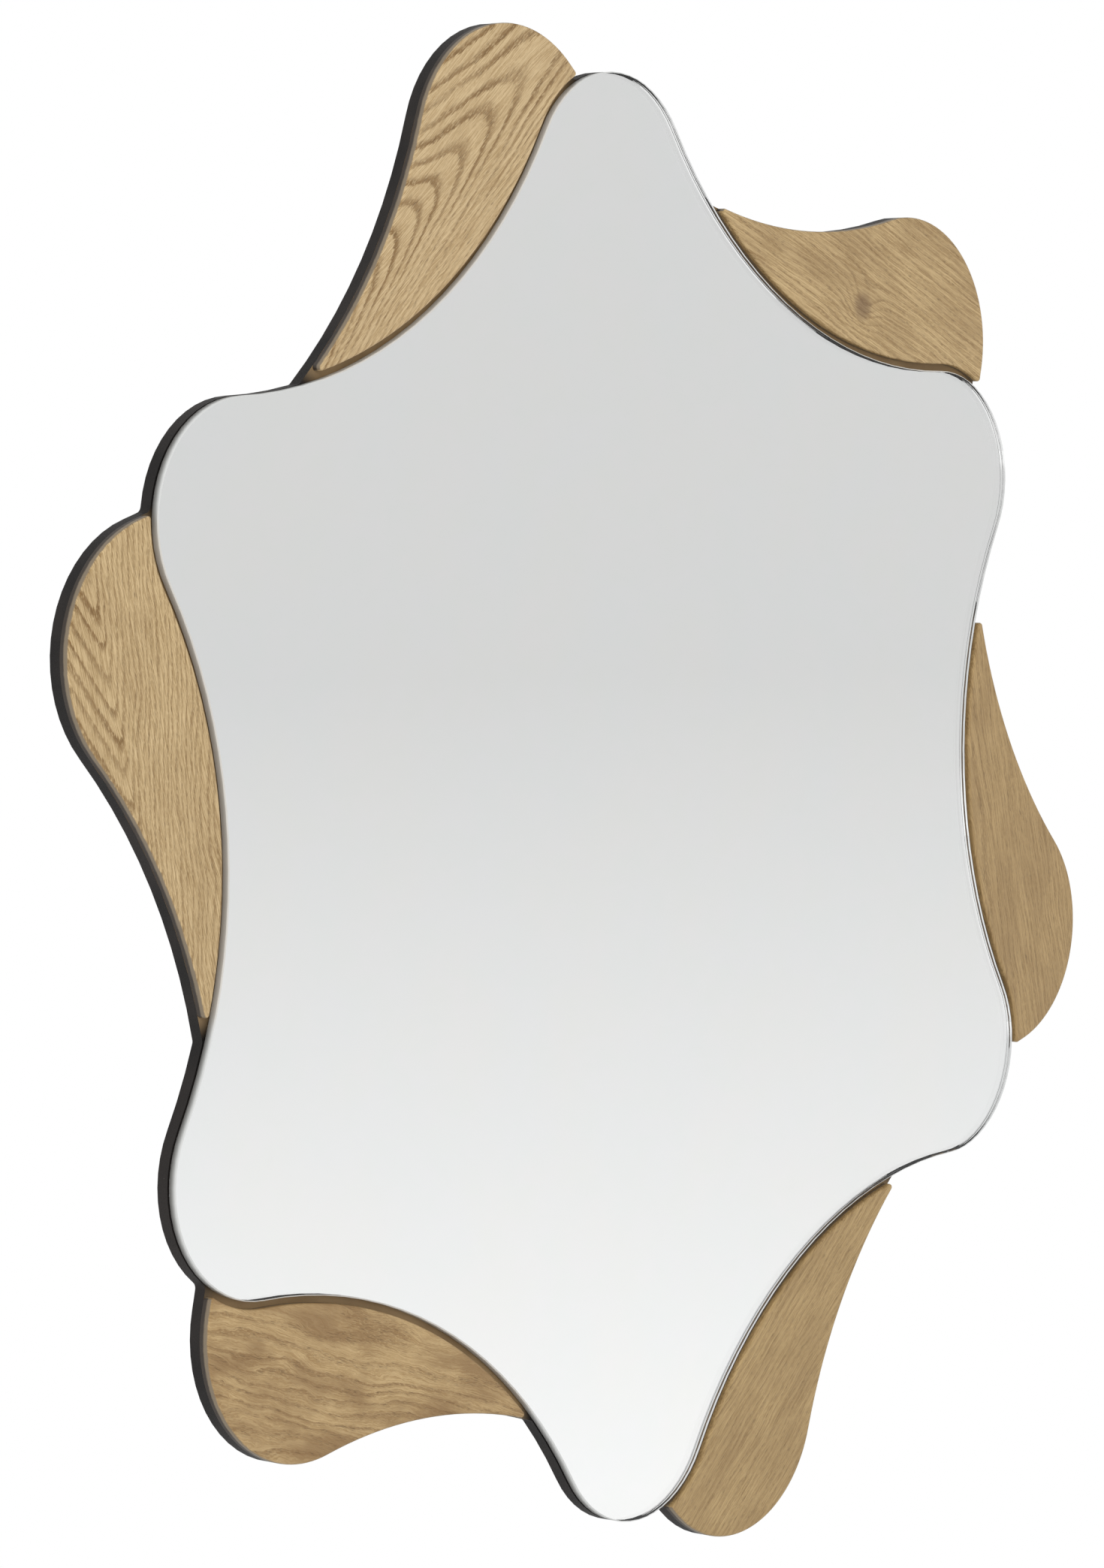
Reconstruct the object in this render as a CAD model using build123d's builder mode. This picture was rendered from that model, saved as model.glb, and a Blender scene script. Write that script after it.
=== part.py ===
from build123d import *
from math import atan2, cos, degrees, hypot, radians, sin
import os

# Star mirror: a six-lobed mirror glass on a black board whose six turned lobes carry oak facings
# Millimetres. The origin is the centre of the wall plane, +Z is up and the mirror faces -Y.
# Every height named here is a distance from the wall, measured towards the front.

# Star outlines, seen from the front
lobes = 6
mirror_reach = 322.5
mirror_lobe_radius = 51.0
mirror_valley_reach = 250.5
oak_lobe_reveal = 27.5
oak_lobe_widening = 7.0
oak_valley_reveal = 23.5
oak_turn = 13.5
board_corner_radius = 3.0

# Layers, from the wall to the front
hanger_wall_clearance = 0.9
board_thickness = 6.0
tape_thickness = 0.6
glass_thickness = 4.0
board_arris = 0.5
glass_arris = 0.5
facing_arris = 1.2
facing_tip_radius = 1.5
shadow_gap = 3.3

# Bonding tape between the board and the glass
tape_width = 25.0
tape_edge_margin = 22.0
lobe_tape_start = 95.0
valley_tape_start = 130.0

# Rubber bumpers on the back
bumper_count = 4
bumper_radius = 9.0
bumper_face_radius = 8.0
bumper_edge_radius = 1.0
bumper_margin = 20.0

# Strap hangers and their rings
hanger_spacing = 300.0
hanger_height = 130.0
strap_width = 12.0
strap_thickness = 1.0
strap_rivet_pitch = 12.0
strap_end_margin = 6.5
strap_end_radius = 4.0
eye_lip_gap = 0.3
ring_wire_radius = 1.25
ring_clearance = 0.3
ring_side_clearance = 0.8
ring_bend_radius = 2.5
ring_leg_length = 3.0
ring_to_rivet_gap = 1.7

# Tubular rivets that hold the straps
rivet_radius = 2.0
rivet_hole_clearance = 0.05
rivet_bore_radius = 1.2
rivet_bore_depth = 4.0
rivet_front_head_radius = 4.2
rivet_front_head_height = 0.8
rivet_front_head_sink = 0.2
rivet_back_head_radius = 3.7
rivet_back_head_height = 1.0
rivet_back_head_round = 0.4
counterbore_clearance = 0.3

# Eye of the strap: it wraps the bar of the ring and sets how far the board stands off the wall
eye_inner_radius = ring_wire_radius + ring_clearance
eye_outer_radius = eye_inner_radius + strap_thickness
bumper_height = hanger_wall_clearance + 2 * eye_outer_radius

# Heights that follow from the layers, with the facings flush with the glass
board_back = bumper_height
board_front = board_back + board_thickness
glass_back = board_front + tape_thickness
facing_thickness = tape_thickness + glass_thickness
strap_face = board_back - strap_thickness
ring_axis = board_back - eye_outer_radius
counterbore_depth = rivet_front_head_height + rivet_front_head_sink
rivet_seat = board_front - counterbore_depth
rivet_end = strap_face - rivet_back_head_height

# Oak star: the mirror star with its lobes and valleys carried outwards
oak_reach = mirror_reach + oak_lobe_reveal
oak_lobe_radius = mirror_lobe_radius + oak_lobe_widening
oak_valley_reach = mirror_valley_reach + oak_valley_reveal

# Places and sizes that follow from their neighbours
lobe_pitch = 360 / lobes
bumper_reach = oak_valley_reach - bumper_margin - bumper_radius
ring_half_bar = strap_width / 2 + ring_side_clearance
ring_bow_radius = ring_half_bar + ring_bend_radius
ring_drop = ring_bend_radius + ring_leg_length + ring_bow_radius + ring_wire_radius
strap_first_rivet = ring_drop + ring_to_rivet_gap + rivet_back_head_radius
strap_length = strap_first_rivet + strap_rivet_pitch + strap_end_margin
hanger_places = {"left": -hanger_spacing / 2, "right": hanger_spacing / 2}


def front_plane(height):
    """Plane parallel to the wall at a height above it, seen from the front, x right and y up."""
    return Plane.XZ.offset(height)


def polar(distance, angle):
    """Point at a distance from the centre, at an angle in degrees anticlockwise from straight up."""
    return (-distance * sin(radians(angle)), distance * cos(radians(angle)))


def star(reach, lobe_radius, valley_reach, turn):
    """Closed outline of lobe arcs and valley arcs, each tangent to the next.

    The valley radius follows from the tangency: the two arc centres lie the sum of their radii apart.
    """
    half_pitch = lobe_pitch / 2
    lobe_centre = reach - lobe_radius
    across = lobe_centre * cos(radians(half_pitch))
    centres_apart = 2 * across * valley_reach - lobe_centre**2 - valley_reach**2
    valley_radius = (centres_apart + lobe_radius**2) / (2 * (valley_reach - across - lobe_radius))
    share = lobe_radius / (lobe_radius + valley_radius)
    lobe_x, lobe_y = polar(lobe_centre, 0)
    valley_x, valley_y = polar(valley_reach + valley_radius, half_pitch)
    joint_x = lobe_x + share * (valley_x - lobe_x)
    joint_y = lobe_y + share * (valley_y - lobe_y)
    joint_reach = hypot(joint_x, joint_y)
    joint_angle = degrees(atan2(-joint_x, joint_y))
    with BuildSketch(mode=Mode.PRIVATE) as outline:
        with BuildLine():
            for lobe in range(lobes):
                centre = turn + lobe * lobe_pitch
                before = polar(joint_reach, centre - joint_angle)
                after = polar(joint_reach, centre + joint_angle)
                following = polar(joint_reach, centre + lobe_pitch - joint_angle)
                ThreePointArc(before, polar(reach, centre), after)
                ThreePointArc(after, polar(valley_reach, centre + half_pitch), following)
        make_face()
    return outline.sketch


def rivet_places(across):
    """Centres of the two rivets of the strap that stands at a distance across the wall."""
    first = hanger_height - strap_first_rivet
    return [(across, first), (across, first - strap_rivet_pitch)]


def save(piece, name):
    """Label a finished piece and write it under its name."""
    piece.part.label = name
    export_step(piece.part, f"parts/{name}.step")


os.makedirs("parts", exist_ok=True)
all_rivets = [place for across in hanger_places.values() for place in rivet_places(across)]

mirror_star = star(mirror_reach, mirror_lobe_radius, mirror_valley_reach, 0)
oak_star = star(oak_reach, oak_lobe_radius, oak_valley_reach, oak_turn)
gap_star = star(
    mirror_reach + shadow_gap, mirror_lobe_radius + shadow_gap, mirror_valley_reach + shadow_gap, 0
)

# Board outline: both stars together, grown and shrunk again, which rounds the corners where they cross
with BuildSketch() as board_outline:
    add(mirror_star)
    add(oak_star)
    offset(board_outline.sketch, amount=board_corner_radius, mode=Mode.REPLACE)
    offset(board_outline.sketch, amount=-board_corner_radius, mode=Mode.REPLACE)

# Facing outlines: the board outline beyond the shadow gap, shrunk and grown again, which rounds the tips
with BuildSketch() as facing_outlines:
    add(board_outline.sketch)
    add(gap_star, mode=Mode.SUBTRACT)
    offset(facing_outlines.sketch, amount=-facing_tip_radius, mode=Mode.REPLACE)
    offset(facing_outlines.sketch, amount=facing_tip_radius, mode=Mode.REPLACE)

# Backboard, with the rivet holes counterbored from the front
with BuildPart() as backboard:
    with BuildSketch(front_plane(board_back)):
        add(board_outline.sketch)
    extrude(amount=board_thickness)
    fillet(backboard.faces().sort_by(Axis.Y)[-1].edges(), radius=board_arris)
    with BuildSketch(front_plane(board_back)):
        with Locations(*all_rivets):
            Circle(rivet_radius + rivet_hole_clearance)
    extrude(amount=board_thickness, mode=Mode.SUBTRACT)
    with BuildSketch(front_plane(board_front)):
        with Locations(*all_rivets):
            Circle(rivet_front_head_radius + counterbore_clearance)
    extrude(amount=-counterbore_depth, mode=Mode.SUBTRACT)
save(backboard, "backboard")

# Mirror glass: polished edge with an arris on both faces
with BuildPart() as mirror_glass:
    with BuildSketch(front_plane(glass_back)):
        add(mirror_star)
    extrude(amount=glass_thickness)
    glass_faces = mirror_glass.faces().sort_by(Axis.Y)
    chamfer([glass_faces[0].edges(), glass_faces[-1].edges()], length=glass_arris)
save(mirror_glass, "mirror_glass")

# Bonding tape: a strip towards each lobe and a shorter one towards each valley
with BuildPart() as bonding_tape:
    with BuildSketch(front_plane(board_front)):
        for start, end, turn in (
            (lobe_tape_start, mirror_reach - tape_edge_margin, 0),
            (valley_tape_start, mirror_valley_reach - tape_edge_margin, lobe_pitch / 2),
        ):
            with PolarLocations((start + end) / 2, lobes, start_angle=90 + turn):
                Rectangle(end - start, tape_width)
    extrude(amount=tape_thickness)
save(bonding_tape, "bonding_tape")

# Oak facings, numbered anticlockwise from the top: one on each lobe, with a softened front edge
for lobe in range(lobes):
    with BuildPart() as oak_facing:
        with BuildSketch(front_plane(board_front)):
            tip = Vertex(*polar(oak_reach, oak_turn + lobe * lobe_pitch), 0)
            add(facing_outlines.faces().sort_by(lambda face: face.distance_to(tip))[0])
        extrude(amount=facing_thickness)
        fillet(oak_facing.faces().sort_by(Axis.Y)[0].edges(), radius=facing_arris)
    save(oak_facing, f"oak_facing_{lobe + 1}")

# Wall bumpers, numbered anticlockwise from the upper left: short rubber cones that meet the wall
for corner in range(bumper_count):
    with BuildPart(front_plane(0)) as wall_bumper:
        with Locations(polar(bumper_reach, (corner + 0.5) * 360 / bumper_count)):
            Cone(
                bottom_radius=bumper_face_radius,
                top_radius=bumper_radius,
                height=bumper_height,
                align=(Align.CENTER, Align.CENTER, Align.MIN),
            )
        fillet(wall_bumper.edges().group_by(Axis.Y)[-1], radius=bumper_edge_radius)
    save(wall_bumper, f"wall_bumper_{corner + 1}")

for side, across in hanger_places.items():
    # Hanger strap: a flat leaf against the board, curled at the top into an eye around the ring
    with BuildPart() as hanger_strap:
        with BuildSketch(Plane.YZ.offset(across - strap_width / 2)):
            with Locations((-ring_axis, hanger_height)):
                Circle(eye_outer_radius)
            with Locations((-board_back, hanger_height)):
                Rectangle(strap_thickness, strap_length, align=(Align.MIN, Align.MAX))
            with Locations((-ring_axis, hanger_height)):
                Circle(eye_inner_radius, mode=Mode.SUBTRACT)
            with Locations((-strap_face, hanger_height)):
                Rectangle(eye_lip_gap, eye_outer_radius, align=(Align.MIN, Align.MAX), mode=Mode.SUBTRACT)
        extrude(amount=strap_width)
        lower_corners = hanger_strap.edges().filter_by(Axis.Y).group_by(Axis.Z)[0]
        fillet(lower_corners, radius=strap_end_radius)
        with BuildSketch(front_plane(board_back)):
            with Locations(*rivet_places(across)):
                Circle(rivet_radius + rivet_hole_clearance)
        extrude(amount=-strap_thickness, mode=Mode.SUBTRACT)
    save(hanger_strap, f"hanger_strap_{side}")

    # Ring: round wire bent to a D that hangs from its straight bar in the eye of the strap
    right = across + ring_bow_radius
    left = across - ring_bow_radius
    bend_foot = hanger_height - ring_bend_radius
    leg_foot = bend_foot - ring_leg_length
    with BuildPart() as d_ring:
        with BuildLine(front_plane(ring_axis)) as wire:
            right_bar = Line((across, hanger_height), (across + ring_half_bar, hanger_height))
            right_bend = TangentArc(right_bar @ 1, (right, bend_foot), tangent=right_bar % 1)
            right_leg = Line(right_bend @ 1, (right, leg_foot))
            bow = ThreePointArc(right_leg @ 1, (across, leg_foot - ring_bow_radius), (left, leg_foot))
            left_leg = Line(bow @ 1, (left, bend_foot))
            left_bar_end = (across - ring_half_bar, hanger_height)
            left_bend = TangentArc(left_leg @ 1, left_bar_end, tangent=left_leg % 1)
            Line(left_bend @ 1, right_bar @ 0)
        with BuildSketch(Plane(origin=wire.line @ 0, z_dir=wire.line % 0)):
            Circle(ring_wire_radius)
        sweep()
    save(d_ring, f"d_ring_{side}")

# Hanger rivets: a wide head in the counterbore, a hollow shank and a rolled head over the strap
with BuildPart() as hanger_rivets:
    for height, radius, length in (
        (rivet_seat, rivet_front_head_radius, rivet_front_head_height),
        (rivet_seat, rivet_radius, strap_face - rivet_seat),
        (strap_face, rivet_back_head_radius, -rivet_back_head_height),
    ):
        with BuildSketch(front_plane(height)):
            with Locations(*all_rivets):
                Circle(radius)
        extrude(amount=length)
    fillet(hanger_rivets.edges().group_by(Axis.Y)[-1], radius=rivet_back_head_round)
    with BuildSketch(front_plane(rivet_end)):
        with Locations(*all_rivets):
            Circle(rivet_bore_radius)
    extrude(amount=rivet_bore_depth, mode=Mode.SUBTRACT)
save(hanger_rivets, "hanger_rivets")
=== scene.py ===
from math import cos, pi, radians, sin

import bpy
import numpy as np
from mathutils import Matrix, Vector


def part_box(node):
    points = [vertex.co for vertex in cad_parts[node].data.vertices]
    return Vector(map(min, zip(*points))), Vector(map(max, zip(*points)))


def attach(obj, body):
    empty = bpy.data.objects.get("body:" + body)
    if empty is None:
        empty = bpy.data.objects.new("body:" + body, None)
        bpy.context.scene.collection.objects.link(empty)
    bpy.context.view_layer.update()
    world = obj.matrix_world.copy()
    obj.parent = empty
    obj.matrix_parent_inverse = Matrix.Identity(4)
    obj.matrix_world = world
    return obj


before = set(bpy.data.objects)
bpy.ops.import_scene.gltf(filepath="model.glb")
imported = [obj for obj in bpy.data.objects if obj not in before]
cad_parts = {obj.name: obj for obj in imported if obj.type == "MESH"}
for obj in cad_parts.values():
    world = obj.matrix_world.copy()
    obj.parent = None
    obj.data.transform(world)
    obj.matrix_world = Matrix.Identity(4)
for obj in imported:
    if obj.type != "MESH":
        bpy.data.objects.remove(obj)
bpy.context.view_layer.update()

# Star mirror: the finishes of its oak lobes, black board, silvered glass and hanging hardware
# Metres, in the frame of the construction model: +Z is up and the mirror faces -Y.
# Patterns are in millimetres, and colours are given as displayed, from 0 to 255.

millimetre = 0.001

# Where the photographer stood, measured from the centre of the mirror's front face
camera_azimuth = radians(-48.76)
camera_elevation = radians(5.06)
camera_roll = radians(-1.11)
camera_distance = 2.3746
aim_right = 0.0328
aim_up = -0.0091
sensor_size = 36.0
focal_length = 122.97

# Studio: a pale floor far below the hung mirror and one soft lamp
floor_drop = 1.3
floor_half_width = 2.4
floor_grey = 0.94
floor_roughness = 0.9
floor_glow_to_camera = 0.75
lamp_place = (-2.2, -2.2, 1.6)
lamp_size = 1.6
lamp_power = 30.0

# Room that the glass reflects: going down, its grey wall turns white between two heights below the
# horizon, each given as the sine of its elevation
wall_grey = 0.71
room_white = 1.0
horizon_sine = -0.068
foreground_sine = -0.218

# Mirror star, whose reach is read from the glass
glass_low, glass_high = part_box("mirror_glass")
lobe_count = 6
lobe_pitch = 2 * pi / lobe_count
mirror_reach = (glass_high.z - glass_low.z) / 2
mirror_lobe_radius = 0.051
mirror_valley_reach = 0.2505

# Silvering: how far it stays inside the outline of the glass, its thickness, how far it stays inside
# the back of the glass, and its steps round the star
silver_inset = 0.0005
silver_thickness = 0.00004
silver_depth = 0.00005
silver_steps = 720

# Where oak lies beside the mirror, anticlockwise from each lobe of the mirror
oak_start = radians(3)
oak_end = radians(46)
oak_fade = radians(3)

# Ground edge of the glass: its colours from the front (0) to the back (1), pale at the front and
# darkened by painted shade toward the board, how far they wander, its roughness, how squarely it faces
# away from the front, and painted light that makes it paler where oak lies beside it, with its colour
glass_thickness = (glass_high.y - glass_low.y) / millimetre
ground_edge_painted_shading = (
    (0.0, (224, 225, 223)),
    (0.2, (200, 201, 199)),
    (0.45, (150, 150, 147)),
    (0.75, (100, 99, 96)),
    (1.0, (72, 70, 67)),
)
ground_edge_wander = 0.08
ground_edge_roughness = (0.45, 0.6)
ground_edge_facing = (0.8, 0.95)
# Painted light on the ground edge where oak lies beside it: how strong it is, and its colour
painted_oak_light = 0.6
painted_oak_light_colour = (224, 219, 210)

# Black board: its paint, its chips, its bare front face in the gap beside the mirror, and how
# squarely that face looks forward
board_black = (30, 28, 27)
board_soft_black = (42, 38, 36)
board_chip = (120, 116, 110)
chip_strength = 0.7
bare_board = (166, 139, 102)
bare_board_dark = (150, 124, 89)
bare_board_facing = (-0.97, -0.9)

# Fine grain: the noise values between which a drift runs, softly or firmly, and those of the chips,
# then the most roughness of a polished surface, and how far that of steel and of soft parts drifts
soft_drift = (0.3, 0.7)
firm_drift = (0.35, 0.65)
chip_edge_noise = 0.86
chip_edge_drop = 0.4
chip_edge_softness = 0.03
polished_roughness = 0.01
steel_roughness_spread = 0.15
soft_roughness_spread = 0.1

# Noise on the oak: waves to the unit along each of its three coordinates, its detail and roughness.
# The coordinates are along the grain, across it and inward, unless a note names others.
oak_noises = {
    "wave": ((0.014, 0.035, 0.03), 2.0, 0.45),
    "tremble": ((0.07, 0.16, 0.1), 3.0, 0.55),
    "streak": ((0.11, 1.7, 0.5), 2.0, 0.6),
    "dash": ((0.28, 3.6, 1.5), 1.0, 0.5),
    "fleck": ((0.4, 1.5, 1.1), 2.0, 0.6),
    "fibre": ((0.05, 2.6, 0.8), 3.0, 0.65),
    "spacing": ((0.45, 1.0, 1.0), 1.0, 0.5),  # rings, seed and nothing
    "strength": ((0.018, 0.8, 1.0), 1.0, 0.5),  # along the grain, rings and seed
    "blotch": ((0.02, 0.045, 3.0), 3.0, 0.55),  # along the grain, across it and seed
    "stain": ((0.3, 0.8, 0.3), 3.0, 0.6),  # the object's own x, y and z
}

# Millimetres that each step of the seed moves a facing inward through the noise
seed_depth = 37.0

# Bends of the oak's grain: millimetres of sway for a waviness of 1, and how many times as much the
# grain sways along itself
wave_sway = 4.0
tremble_sway = 0.8
sway_along = 2.0

# Growth rings, where 1 is the turn of one ring: where the early wood darkens and fades again, how far
# streaks fray it and how uneven the spacing is, and how rings fade by chance or when crowded
ring_darkens = (0.0, 0.1)
ring_fades = (0.18, 0.62)
ring_fray = 0.5
ring_unevenness = 1.6
ring_fade_noise = (0.3, 0.65)
ring_faintest = 0.45
crowded_rings = (0.2, 0.45)
crowded_strength = 0.26

# Marks on the oak: the noise values between which each appears, how strong it is and how dark, and
# the share of the pores that late wood keeps. The knot darkens between two heights of its hill.
fibre_noise = (0.32, 0.66)
pore_noise = (0.56, 0.68)
pore_strength = 0.55
pore_shade = 0.72
late_wood_pores = 0.25
fleck_noise = (0.5, 0.66)
fleck_strength = 0.5
mottle_noise = (0.38, 0.66)
knot_core = (0.55, 1.0)
knot_brown = (105, 78, 56)

# Lacquered face of the oak: its roughness, what a ring adds to it, how high the fibre stands and how
# deep a ring lies, each as a share of the depth of a pore
oak_roughness = 0.46
ring_roughness = 0.12
fibre_relief = 0.4
ring_relief = 0.4

# Stained edges of the oak: depths behind the front face at which each stain begins and is full, and
# how much deeper the stain begins on the edge by the mirror. An edge is that one where its place
# times its normal is negative, and in full from the last value down.
oak_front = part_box("oak_facing_1")[0].y
front_stain = (136, 122, 102)
front_stain_depths = (0.25, 0.8)
back_stain = (62, 54, 47)
back_stain_depths = (2.0, 3.0)
stain_wander = 0.8
inner_edge_spared = 2.2
inner_edge_turn = -20.0


def linear(red, green, blue):
    """Scene-linear colour, with alpha, of a display colour given in 0 to 255."""
    shares = np.array((red, green, blue)) / 255
    values = np.where(shares <= 0.04045, shares / 12.92, ((shares + 0.055) / 1.055) ** 2.4)
    return (*values.tolist(), 1.0)


class Wiring:
    """Short words for adding nodes to one node tree, which the functions below are given as w.

    Most of them give back an output socket.
    """

    def __init__(self, tree):
        self.tree = tree

    def put(self, inputs, values):
        """Values or sockets put into a node's inputs, by name or by number."""
        for name, value in values.items():
            if isinstance(value, bpy.types.NodeSocket):
                self.tree.links.new(value, inputs[name])
            else:
                inputs[name].default_value = value

    def add(self, kind, inputs=None, output=0, **settings):
        """A node of a kind, with its settings, and with values or sockets put into its inputs."""
        node = self.tree.nodes.new("ShaderNode" + kind)
        for name, value in settings.items():
            setattr(node, name, value)
        self.put(node.inputs, inputs or {})
        return node.outputs[output]

    def place(self, group, values):
        """A node group with its own values. Gives back its outputs, by name."""
        node = self.tree.nodes.new("ShaderNodeGroup")
        node.node_tree = group
        self.put(node.inputs, values)
        return node.outputs

    def math(self, operation, *values):
        return self.add("Math", dict(enumerate(values)), operation=operation)

    def plus(self, first, second):
        return self.math("ADD", first, second)

    def minus(self, first, second):
        return self.math("SUBTRACT", first, second)

    def times(self, first, second):
        return self.math("MULTIPLY", first, second)

    def over(self, first, second):
        return self.math("DIVIDE", first, second)

    def hypot(self, first, second):
        """The root of the sum of two squares."""
        return self.math("SQRT", self.plus(self.times(first, first), self.times(second, second)))

    def span(self, value, low, high, first=0.0, last=1.0):
        """A value carried smoothly from first at low to last at high."""
        inputs = {"Value": value, "From Min": low, "From Max": high, "To Min": first, "To Max": last}
        return self.add("MapRange", inputs, interpolation_type="SMOOTHSTEP")

    def ramp(self, value, stops):
        """Colours at places from 0 to 1, blended in between."""
        node = self.tree.nodes.new("ShaderNodeValToRGB")
        elements = node.color_ramp.elements
        while len(elements) < len(stops):
            elements.new(0.5)
        for element, (place, colour) in zip(elements, stops):
            element.position = place
            element.color = colour
        self.put(node.inputs, {0: value})
        return node.outputs[0]

    def blend(self, amount, first, second):
        """One colour over another. The sockets of the colour mix are known by number."""
        return self.add("Mix", {0: amount, 6: first, 7: second}, output=2, data_type="RGBA")

    def vector(self, x, y, z):
        return self.add("CombineXYZ", {"X": x, "Y": y, "Z": z})

    def parts(self, vector):
        """A vector's three parts, by the names X, Y and Z."""
        node = self.tree.nodes.new("ShaderNodeSeparateXYZ")
        self.put(node.inputs, {0: vector})
        return node.outputs

    def noise(self, place, waves, detail, roughness):
        """Smooth noise about 0.5, with so many waves to the unit along each part of the place."""
        stretched = self.add("VectorMath", {0: place, 1: waves}, operation="MULTIPLY")
        inputs = {"Vector": stretched, "Scale": 1.0, "Detail": detail, "Roughness": roughness}
        return self.add("TexNoise", inputs)

    def sway(self, noise, size):
        """Noise about 0.5 made into a shift about nothing: its distance from 0.5, times the size."""
        return self.times(self.minus(noise, 0.5), size)


def new_group(name, inputs, outputs):
    """A shader node group with named number inputs and outputs: itself, its wiring and both ends."""
    group = bpy.data.node_groups.new(name, "ShaderNodeTree")
    for label, default in inputs.items():
        socket = group.interface.new_socket(label, in_out="INPUT", socket_type="NodeSocketFloat")
        socket.default_value = default
    for label in outputs:
        group.interface.new_socket(label, in_out="OUTPUT", socket_type="NodeSocketFloat")
    entry = group.nodes.new("NodeGroupInput")
    leave = group.nodes.new("NodeGroupOutput")
    return group, Wiring(group), entry.outputs, leave.inputs


def new_material(name):
    """A material with a Principled shader: the material, its wiring and the shader's inputs."""
    material = bpy.data.materials.new(name)
    material.use_nodes = True
    shader = material.node_tree.nodes["Principled BSDF"]
    return material, Wiring(material.node_tree), shader.inputs


def object_millimetres(w):
    """The object's own coordinates, in millimetres."""
    place = w.add("TexCoord", output="Object")
    return w.add("VectorMath", {0: place, "Scale": 1 / millimetre}, operation="SCALE")


def surface_normal(w):
    """The three parts of the direction that the surface faces."""
    return w.parts(w.add("TexCoord", output="Normal"))


def beside_oak(w):
    """1 where oak lies beside the mirror, by the angle anticlockwise from the mirror's last lobe."""
    place = w.parts(object_millimetres(w))
    angle = w.math("ARCTAN2", w.times(place["X"], -1.0), place["Z"])
    from_lobe = w.math("FLOORED_MODULO", angle, lobe_pitch)
    started = w.span(from_lobe, oak_start, oak_start + oak_fade)
    ended = w.span(from_lobe, oak_end - oak_fade, oak_end, 1.0, 0.0)
    return w.times(started, ended)


def grain_distances(w, given, place):
    """Distances along the grain and across it from the centre of the figure."""
    from_x = w.minus(place["X"], given["Centre X"])
    from_z = w.minus(place["Z"], given["Centre Z"])
    cosine = w.math("COSINE", given["Grain Angle"])
    sine = w.math("SINE", given["Grain Angle"])
    along = w.plus(w.times(from_x, cosine), w.times(from_z, sine))
    across = w.minus(w.times(from_z, cosine), w.times(from_x, sine))
    return along, across


def bend_grain(w, given, along, across, place):
    """Both distances, shifted by slow waves and a finer tremble of the noise at a place.

    Along the grain the shift is larger, and then stretch times the square of the distance comes off.
    """
    wave = w.noise(place, *oak_noises["wave"])
    tremble = w.noise(place, *oak_noises["tremble"])
    wave_shift = w.sway(wave, w.times(given["Waviness"], wave_sway))
    tremble_shift = w.sway(tremble, w.times(given["Waviness"], tremble_sway))
    shift = w.plus(wave_shift, tremble_shift)
    moved = w.plus(along, w.times(shift, sway_along))
    drawn_in = w.times(given["Stretch"], w.times(moved, moved))
    return w.minus(moved, drawn_in), w.plus(across, shift)


def knot_hill(w, given, place):
    """Round hill about the knot: e to the power of minus half the square of distance over size."""
    knot_x = w.minus(place["X"], given["Knot X"])
    knot_z = w.minus(place["Z"], given["Knot Z"])
    share = w.over(w.hypot(knot_x, knot_z), given["Knot Size"])
    return w.math("EXPONENT", w.times(w.times(share, share), -0.5))


def count_rings(w, given, along, across, hill):
    """Rings between here and the centre of the figure, and how many there are to a millimetre here.

    Rings = rise * along + lean * across + steepness * hypot(across, roundness) + knot rings * hill,
    where steepness is half the sum of the rings to the millimetre on the two sides, and lean is half
    their difference. The second is the change of the first for each millimetre across the grain.
    """
    left = given["Left Rings"]
    right = given["Right Rings"]
    steepness = w.times(w.plus(left, right), 0.5)
    lean = w.times(w.minus(left, right), 0.5)
    root = w.hypot(across, given["Roundness"])
    sideways = w.plus(w.times(lean, across), w.times(steepness, root))
    rings = w.plus(w.times(given["Rise"], along), sideways)
    rings = w.plus(rings, w.times(hill, given["Knot Rings"]))
    density = w.plus(lean, w.times(steepness, w.over(across, root)))
    return rings, density


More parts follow.
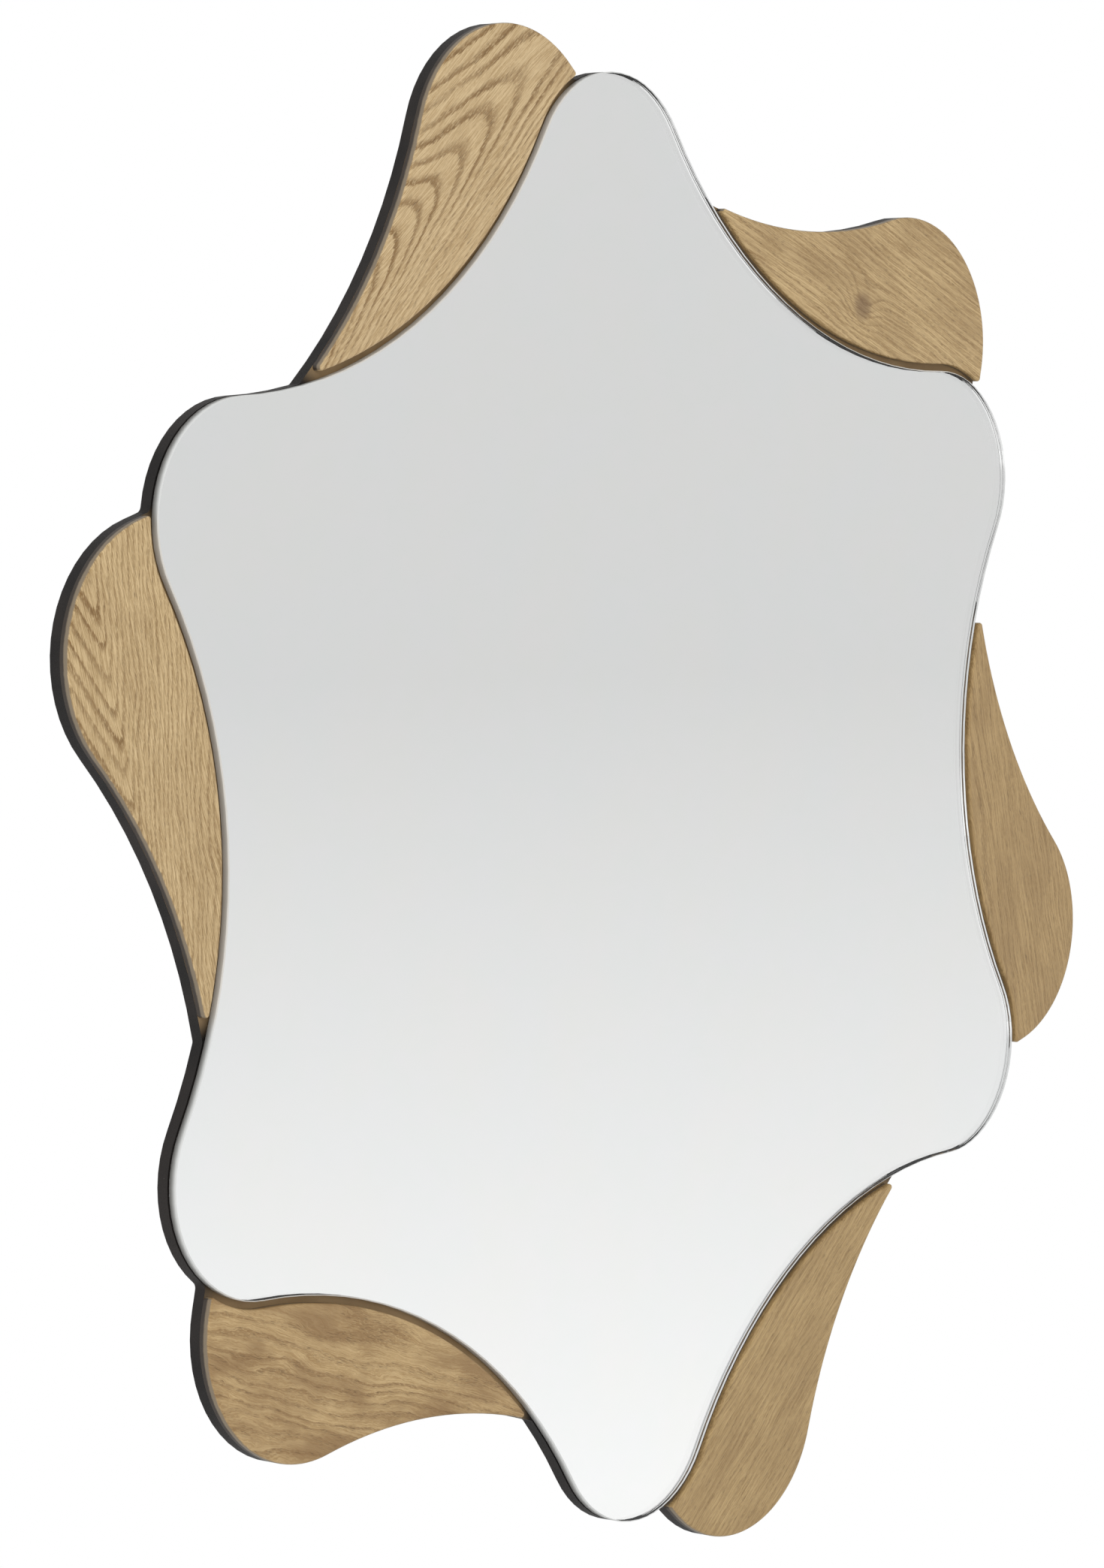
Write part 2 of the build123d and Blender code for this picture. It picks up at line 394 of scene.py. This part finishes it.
def oak_figure_group():
    """Flat-sawn oak on the plane of the wall, in millimetres.

    The growth rings are the level lines of the count of rings: nested arches about the grain that
    turn into straight lines on both sides, with their own number of rings to the millimetre on each
    side. A knot lifts the count in a round hill, so the rings close around it.
    """
    group, w, given, out = new_group(
        "oak_figure",
        {
            "Centre X": 0.0,
            "Centre Z": 0.0,
            "Grain Angle": 0.0,
            "Rise": 0.05,
            "Left Rings": 0.2,
            "Right Rings": 0.4,
            "Roundness": 8.0,
            "Stretch": 0.0,
            "Waviness": 2.0,
            "Contrast": 1.0,
            "Mottle": 0.3,
            "Knot X": 0.0,
            "Knot Z": 0.0,
            "Knot Rings": 0.0,
            "Knot Size": 6.0,
            "Seed": 0.0,
        },
        ("Ring", "Pores", "Flecks", "Fibre", "Mottle", "Knot"),
    )
    seed = given["Seed"]
    place = w.parts(object_millimetres(w))
    inward = w.plus(place["Y"], w.times(seed, seed_depth))
    along, across = grain_distances(w, given, place)
    straight = w.vector(along, across, inward)
    bent_along, bent_across = bend_grain(w, given, along, across, straight)
    bent = w.vector(along, bent_across, inward)
    hill = knot_hill(w, given, place)
    rings, density = count_rings(w, given, bent_along, bent_across, hill)

    # The early wood of each ring is dark, and long thin streaks of vessels fray its edge
    fray = w.sway(w.noise(bent, *oak_noises["streak"]), ring_fray)
    spacing = w.noise(w.vector(rings, seed, 0.0), *oak_noises["spacing"])
    turn = w.math("FRACT", w.plus(rings, w.plus(fray, w.times(spacing, ring_unevenness))))
    early = w.times(w.span(turn, *ring_darkens), w.span(turn, *ring_fades, 1.0, 0.0))
    vary = w.noise(w.vector(along, rings, seed), *oak_noises["strength"])
    strength = w.times(w.span(vary, *ring_fade_noise, ring_faintest, 1.0), given["Contrast"])
    crowding = w.span(w.math("ABSOLUTE", density), *crowded_rings, 1.0, crowded_strength)

    # Open pores are short dark dashes, most of them in the early wood
    dash = w.noise(straight, *oak_noises["dash"])
    pore_share = w.plus(late_wood_pores, w.times(early, 1 - late_wood_pores))
    fleck = w.noise(straight, *oak_noises["fleck"])
    blotch = w.noise(w.vector(along, across, seed), *oak_noises["blotch"])
    w.put(
        out,
        {
            "Ring": w.times(early, w.times(strength, crowding)),
            "Pores": w.times(w.span(dash, *pore_noise), pore_share),
            "Flecks": w.span(fleck, *fleck_noise),
            "Fibre": w.noise(bent, *oak_noises["fibre"]),
            "Mottle": w.times(w.span(blotch, *mottle_noise), given["Mottle"]),
            "Knot": hill,
        },
    )
    return group


def stained_edge(w, body):
    """The body's colour, with the stain over it on the edges of the facing.

    The stain is nearly black by the board and grey brown up to the front. The edge by the mirror,
    whose normal points to the centre, is stained only near the board.
    """
    place = object_millimetres(w)
    here = w.parts(place)
    normal = surface_normal(w)
    outward = w.plus(w.times(normal["X"], here["X"]), w.times(normal["Z"], here["Z"]))
    spared = w.span(outward, inner_edge_turn, 0.0, inner_edge_spared, 0.0)
    sunk = w.minus(w.minus(here["Y"], oak_front / millimetre), spared)
    sunk = w.plus(sunk, w.sway(w.noise(place, *oak_noises["stain"]), stain_wander))
    edge = w.blend(w.span(sunk, *back_stain_depths), linear(*front_stain), linear(*back_stain))
    return w.blend(w.span(sunk, *front_stain_depths), body, edge)


def oak_material(name, group, seed, tone, figure, knot_dark=0.0):
    """Satin lacquered oak. The tone is its pale, middle and dark colour."""
    material, w, shader = new_material(name)
    marks = w.place(group, {"Seed": seed, **figure})
    pale, middle, dark = (linear(*shade) for shade in tone)
    pore = linear(*(pore_shade * np.array(tone[2])).tolist())
    layers = (
        (w.span(marks["Fibre"], *fibre_noise), pale),
        (marks["Ring"], dark),
        (w.times(marks["Flecks"], fleck_strength), pale),
        (marks["Mottle"], dark),
        (w.times(marks["Pores"], pore_strength), pore),
        (w.times(w.span(marks["Knot"], *knot_core), knot_dark), linear(*knot_brown)),
    )
    body = middle
    for amount, colour in layers:
        body = w.blend(amount, body, colour)
    hollows = w.plus(marks["Pores"], w.times(marks["Ring"], ring_relief))
    relief = w.minus(w.times(marks["Fibre"], fibre_relief), hollows)
    w.put(
        shader,
        {
            "Base Color": stained_edge(w, body),
            "Roughness": w.plus(oak_roughness, w.times(marks["Ring"], ring_roughness)),
            "Normal": w.add("Bump", {"Height": relief, "Strength": 0.35, "Distance": 0.0002}),
            "Specular IOR Level": 0.35,
        },
    )
    return material


# Straight, faint figure of the two facings on the lower right
faint_figure = {
    "Rise": 0.01,
    "Left Rings": 0.4,
    "Right Rings": 0.3,
    "Roundness": 20.0,
    "Waviness": 2.5,
    "Contrast": 0.45,
    "Mottle": 0.3,
}

# Tone and figure of each oak facing, anticlockwise from the top
oak_facings = (
    dict(
        tone=((220, 194, 150), (180, 150, 105), (144, 113, 72)),
        figure={
            "Centre X": -125.0,
            "Centre Z": 258.0,
            "Grain Angle": radians(39),
            "Rise": 0.058,
            "Left Rings": 0.17,
            "Right Rings": 0.42,
            "Roundness": 13.0,
            "Stretch": 0.0028,
            "Waviness": 2.0,
            "Contrast": 1.1,
            "Mottle": 0.1,
        },
    ),
    dict(
        tone=((224, 197, 150), (166, 136, 90), (140, 109, 67)),
        figure={
            "Centre X": -316.0,
            "Centre Z": 78.0,
            "Grain Angle": radians(-78),
            "Rise": 0.075,
            "Left Rings": 0.34,
            "Right Rings": 0.16,
            "Roundness": 1.5,
            "Waviness": 2.4,
            "Contrast": 1.05,
            "Mottle": 0.2,
        },
    ),
    dict(
        tone=((206, 177, 129), (172, 140, 93), (140, 108, 69)),
        figure={
            "Centre X": -225.0,
            "Centre Z": -190.0,
            "Grain Angle": radians(-20),
            "Rise": 0.01,
            "Left Rings": 0.16,
            "Right Rings": 0.2,
            "Roundness": 14.0,
            "Waviness": 7.0,
            "Contrast": 0.65,
            "Mottle": 0.75,
        },
    ),
    dict(
        tone=((199, 170, 121), (161, 132, 87), (140, 111, 72)),
        figure={"Centre X": 60.0, "Centre Z": -230.0, "Grain Angle": radians(41), **faint_figure},
    ),
    dict(
        tone=((196, 166, 118), (157, 128, 84), (138, 109, 71)),
        figure={"Centre X": 260.0, "Centre Z": -40.0, "Grain Angle": radians(-78), **faint_figure},
    ),
    dict(
        tone=((212, 184, 136), (164, 134, 89), (138, 108, 69)),
        knot_dark=0.6,
        figure={
            "Centre X": 175.0,
            "Centre Z": 190.0,
            "Grain Angle": radians(-25),
            "Rise": 0.012,
            "Left Rings": 0.28,
            "Right Rings": 0.3,
            "Roundness": 10.0,
            "Waviness": 1.6,
            "Contrast": 0.5,
            "Mottle": 0.3,
            "Knot X": 176.0,
            "Knot Z": 218.0,
            "Knot Rings": 2.4,
            "Knot Size": 8.0,
        },
    ),
)


def fine_grain_group():
    """Even fine grain for paint, rubber and metal: a soft cloud, a fine speckle and rare chips."""
    group, w, given, out = new_group(
        "fine_grain",
        {"Cloud Size": 30.0, "Speckle Size": 0.6, "Chip Size": 1.6, "Chip Share": 0.2},
        ("Cloud", "Speckle", "Chips"),
    )
    place = object_millimetres(w)
    cloud, speckle, chip = (
        w.add("TexNoise", {"Vector": place, "Scale": w.over(1.0, given[size])})
        for size in ("Cloud Size", "Speckle Size", "Chip Size")
    )
    edge = w.minus(chip_edge_noise, w.times(given["Chip Share"], chip_edge_drop))
    chips = w.span(chip, edge, w.plus(edge, chip_edge_softness))
    w.put(out, {"Cloud": cloud, "Speckle": speckle, "Chips": chips})
    return group


def clouded(w, grain, pale, dark):
    """A colour that drifts between two shades with the cloud."""
    return w.blend(w.span(grain["Cloud"], *firm_drift), linear(*pale), linear(*dark))


def toothed(w, grain, smoothest, roughest, bump_strength, bump_height):
    """Roughness and fine bumps of a toothed surface, both from the speckle."""
    bump = {"Height": grain["Speckle"], "Strength": bump_strength, "Distance": bump_height}
    return {
        "Roughness": w.span(grain["Speckle"], *soft_drift, smoothest, roughest),
        "Normal": w.add("Bump", bump),
    }


def polished(w, grain, first, last):
    """Colour and roughness of a polished surface, which hardly drift with the cloud."""
    return {
        "Base Color": w.blend(w.span(grain["Cloud"], *soft_drift), linear(*first), linear(*last)),
        "Roughness": w.span(grain["Cloud"], *soft_drift, 0.0, polished_roughness),
    }


def board_material(group):
    """Fibreboard sprayed matt black, a little cloudy, with a few specks where the paint is thin.

    Its front face is bare and brown at the bottom of the gap between the oak and the mirror.
    """
    material, w, shader = new_material("black_board")
    grain = w.place(group, {"Cloud Size": 25.0, "Speckle Size": 0.45, "Chip Size": 1.3})
    paint = clouded(w, grain, board_black, board_soft_black)
    paint = w.blend(w.times(grain["Chips"], chip_strength), paint, linear(*board_chip))
    bare = clouded(w, grain, bare_board, bare_board_dark)
    front = w.span(surface_normal(w)["Y"], *bare_board_facing, 1.0, 0.0)
    colour = w.blend(w.times(front, beside_oak(w)), paint, bare)
    tooth = toothed(w, grain, smoothest=0.5, roughest=0.7, bump_strength=0.3, bump_height=0.0001)
    w.put(shader, {"Base Color": colour, **tooth, "Specular IOR Level": 0.25})
    return material


def glass_material(group):
    """Clear float glass with a ground edge, pale by the front and darkened by painted shade toward the
    board, and made paler by painted light where oak lies beside it.

    The edge is ground on the outside only, where the surface faces sideways.
    """
    material, w, shader = new_material("clear_glass")
    grain = w.place(group, {"Cloud Size": 12.0, "Speckle Size": 0.35})
    clear = polished(w, grain, (253, 254, 253), (254, 254, 254))
    w.put(shader, {**clear, "Transmission Weight": 1.0, "IOR": 1.52})

    # Painted shade: the edge's colour darkens from the front of the glass to its back, by the board
    depth = w.minus(w.parts(object_millimetres(w))["Y"], glass_low.y / millimetre)
    share = w.plus(w.over(depth, glass_thickness), w.sway(grain["Speckle"], ground_edge_wander))
    edge = w.ramp(share, [(place, linear(*shade)) for place, shade in ground_edge_painted_shading])
    # Painted light: the edge turns paler where oak lies beside the mirror, for light that the oak
    # throws into the gap
    edge = w.blend(w.times(beside_oak(w), painted_oak_light), edge, linear(*painted_oak_light_colour))
    rough = w.span(grain["Speckle"], *soft_drift, *ground_edge_roughness)
    ground = w.add("BsdfPrincipled", {"Base Color": edge, "Roughness": rough})
    sideways = w.span(w.math("ABSOLUTE", surface_normal(w)["Y"]), *ground_edge_facing, 1.0, 0.0)
    outside = w.minus(1.0, w.add("NewGeometry", output="Backfacing"))
    nodes = w.tree.nodes
    mixture = {0: w.times(sideways, outside), 1: nodes["Principled BSDF"].outputs[0], 2: ground}
    w.put(nodes["Material Output"].inputs, {"Surface": w.add("MixShader", mixture)})
    return material


def silver_material(group):
    """Silver laid on the back of the glass, even and bright."""
    material, w, shader = new_material("silvering")
    grain = w.place(group, {"Cloud Size": 60.0})
    w.put(shader, {**polished(w, grain, (249, 250, 250), (250, 250, 249)), "Metallic": 1.0})
    return material


def steel_material(name, group, pale, dark, rough):
    """Plated steel: a clouded metal with a fine tooth."""
    material, w, shader = new_material(name)
    grain = w.place(group, {"Cloud Size": 4.0, "Speckle Size": 0.15})
    roughest = rough + steel_roughness_spread
    tooth = toothed(w, grain, rough, roughest, bump_strength=0.2, bump_height=0.00003)
    w.put(shader, {"Base Color": clouded(w, grain, pale, dark), **tooth, "Metallic": 1.0})
    return material


def soft_material(name, group, pale, dark, rough):
    """Rubber or foam: dull, dark and faintly pitted."""
    material, w, shader = new_material(name)
    grain = w.place(group, {"Cloud Size": 5.0, "Speckle Size": 0.3})
    smoothest = rough - soft_roughness_spread
    tooth = toothed(w, grain, smoothest, rough, bump_strength=0.4, bump_height=0.0001)
    w.put(shader, {"Base Color": clouded(w, grain, pale, dark), **tooth})
    return material


def star_reach(angles, reach, lobe_radius, valley_reach):
    """Distance of the star's outline from its centre at angles from straight up.

    On a lobe the outline is a circle about the lobe's centre, seen from inside it. In a valley it is
    a circle about a point outside the star, seen from outside it. The two meet where they touch.
    """
    half_pitch = lobe_pitch / 2
    centre = reach - lobe_radius
    near = centre * cos(half_pitch)
    top = 2 * near * valley_reach - centre**2 - valley_reach**2 + lobe_radius**2
    valley_radius = top / (2 * (valley_reach - near - lobe_radius))
    outside = valley_reach + valley_radius
    share = lobe_radius / (lobe_radius + valley_radius)
    joint_across = share * outside * sin(half_pitch)
    joint_along = centre + share * (outside * cos(half_pitch) - centre)
    joint = np.arctan2(joint_across, joint_along)
    from_lobe = np.abs((angles + half_pitch) % lobe_pitch - half_pitch)
    on_lobe = np.minimum(from_lobe, joint)
    in_valley = half_pitch - np.maximum(from_lobe, joint)
    lobe_root = np.sqrt(lobe_radius**2 - (centre * np.sin(on_lobe)) ** 2)
    valley_root = np.sqrt(valley_radius**2 - (outside * np.sin(in_valley)) ** 2)
    lobe = centre * np.cos(on_lobe) + lobe_root
    valley = outside * np.cos(in_valley) - valley_root
    return np.where(from_lobe <= joint, lobe, valley)


def new_piece(name, points, faces, material, body):
    """A mesh piece that rides on a body."""
    mesh = bpy.data.meshes.new(name)
    mesh.from_pydata(points.tolist(), [], faces)
    mesh.materials.append(material)
    piece = bpy.data.objects.new(name, mesh)
    bpy.context.scene.collection.objects.link(piece)
    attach(piece, body)
    return piece


def silvering_piece(material):
    """Thin closed plate inside the back of the glass.

    Its front and its back are the same star, with x = -reach * sin(angle) and z = reach * cos(angle)
    at each angle, and a band of quads joins the two.
    """
    angles = np.arange(silver_steps) * 2 * pi / silver_steps
    reach = star_reach(
        angles,
        mirror_reach - silver_inset,
        mirror_lobe_radius - silver_inset,
        mirror_valley_reach - silver_inset,
    )
    back = glass_high.y - silver_depth
    stars = [
        np.column_stack((-reach * np.sin(angles), np.full(silver_steps, depth), reach * np.cos(angles)))
        for depth in (back - silver_thickness, back)
    ]
    here = np.arange(silver_steps)
    there = (here + 1) % silver_steps
    band = np.column_stack((here, here + silver_steps, there + silver_steps, there)).tolist()
    faces = [here.tolist(), (here[::-1] + silver_steps).tolist(), *band]
    return new_piece("silvering", np.concatenate(stars), faces, material, "mirror")


def finish_nodes():
    """The material of every node of the construction model, by the start of its name."""
    oak_figure = oak_figure_group()
    grain = fine_grain_group()
    finishes = {
        "backboard": board_material(grain),
        "mirror_glass": glass_material(grain),
        "bonding_tape": soft_material("foam_tape", grain, (44, 44, 45), (34, 34, 35), 0.9),
        "wall_bumper": soft_material("black_rubber", grain, (40, 40, 41), (28, 28, 29), 0.75),
        "hanger_rivets": steel_material("nickel_plate", grain, (214, 211, 204), (190, 187, 180), 0.25),
        "hanger_strap": steel_material("zinc_plate", grain, (205, 207, 208), (176, 180, 184), 0.32),
        "d_ring": steel_material("zinc_wire", grain, (210, 211, 211), (182, 185, 188), 0.22),
    }
    for number, facing in enumerate(oak_facings, 1):
        name = f"oak_facing_{number}"
        finishes[name] = oak_material(name + "_oak", oak_figure, float(number), **facing)
    for name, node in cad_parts.items():
        finish = next(finishes[start] for start in finishes if name.startswith(start))
        node.data.materials.clear()
        node.data.materials.append(finish)
    silvering_piece(silver_material(grain))


def photo_camera():
    """Camera at the photographer's place: a direction, a distance and a small offset of the aim."""
    outward = cos(camera_elevation)
    toward_x = sin(camera_azimuth) * outward
    toward_y = -cos(camera_azimuth) * outward
    toward = Vector((toward_x, toward_y, sin(camera_elevation)))
    level = Vector((cos(camera_azimuth), sin(camera_azimuth), 0))
    upright = level.cross(-toward)
    right = cos(camera_roll) * level + sin(camera_roll) * upright
    up = cos(camera_roll) * upright - sin(camera_roll) * level
    centre = Vector((0, glass_low.y, 0))
    place = centre - aim_right * right - aim_up * up + camera_distance * toward
    data = bpy.data.cameras.new("photo_camera")
    data.sensor_width = sensor_size
    data.lens = focal_length
    camera = bpy.data.objects.new("photo_camera", data)
    bpy.context.scene.collection.objects.link(camera)
    turned = Matrix((right, up, toward)).transposed().to_4x4()
    camera.matrix_world = Matrix.Translation(place) @ turned
    bpy.context.scene.camera = camera


def room():
    """World: white to the camera. To the glass and the metal it is a grey wall over a white floor."""
    world = bpy.data.worlds.new("room")
    bpy.context.scene.world = world
    world.use_nodes = True
    w = Wiring(world.node_tree)
    height = w.parts(w.add("TexCoord", output="Generated"))["Z"]
    sines = {"From Min": foreground_sine, "From Max": horizon_sine}
    greys = {"To Min": room_white, "To Max": wall_grey}
    reflected = w.add("MapRange", {"Value": height, **sines, **greys})
    seen = w.add("LightPath", output="Is Camera Ray")
    level = w.plus(w.times(reflected, w.minus(1.0, seen)), seen)
    w.put(world.node_tree.nodes["Background"].inputs, {"Color": level, "Strength": 1.0})


def floor():
    """Plain pale floor, far below the mirror as when it hangs on a wall."""
    side = floor_half_width
    low = -floor_drop
    corners = [(-side, -side, low), (side, -side, low), (side, side, low), (-side, side, low)]
    mesh = bpy.data.meshes.new("floor")
    mesh.from_pydata(corners, [], [(0, 1, 2, 3)])
    piece = bpy.data.objects.new("floor", mesh)
    bpy.context.scene.collection.objects.link(piece)
    material, w, shader = new_material("pale_floor")
    grey = (floor_grey, floor_grey, floor_grey, 1.0)
    w.put(shader, {"Base Color": grey, "Roughness": floor_roughness, "Specular IOR Level": 0.0})
    glow = w.add("Emission", {"Color": (1.0, 1.0, 1.0, 1.0), "Strength": 1.0})
    seen = w.times(w.add("LightPath", output="Is Camera Ray"), floor_glow_to_camera)
    nodes = w.tree.nodes
    mixed = w.add("MixShader", {0: seen, 1: nodes["Principled BSDF"].outputs[0], 2: glow})
    w.put(nodes["Material Output"].inputs, {"Surface": mixed})
    mesh.materials.append(material)


def soft_lamp():
    """Square soft lamp that faces the mirror's centre and doesn't show in the glass."""
    data = bpy.data.lights.new("key_lamp", "AREA")
    data.shape = "SQUARE"
    data.size = lamp_size
    data.energy = lamp_power
    lamp = bpy.data.objects.new("key_lamp", data)
    bpy.context.scene.collection.objects.link(lamp)
    lamp.location = lamp_place
    lamp.rotation_euler = (-Vector(lamp_place)).to_track_quat("-Z", "Y").to_euler()
    lamp.visible_glossy = False
    lamp.visible_transmission = False


bpy.context.scene.view_settings.view_transform = "Standard"
photo_camera()
room()
floor()
soft_lamp()
finish_nodes()
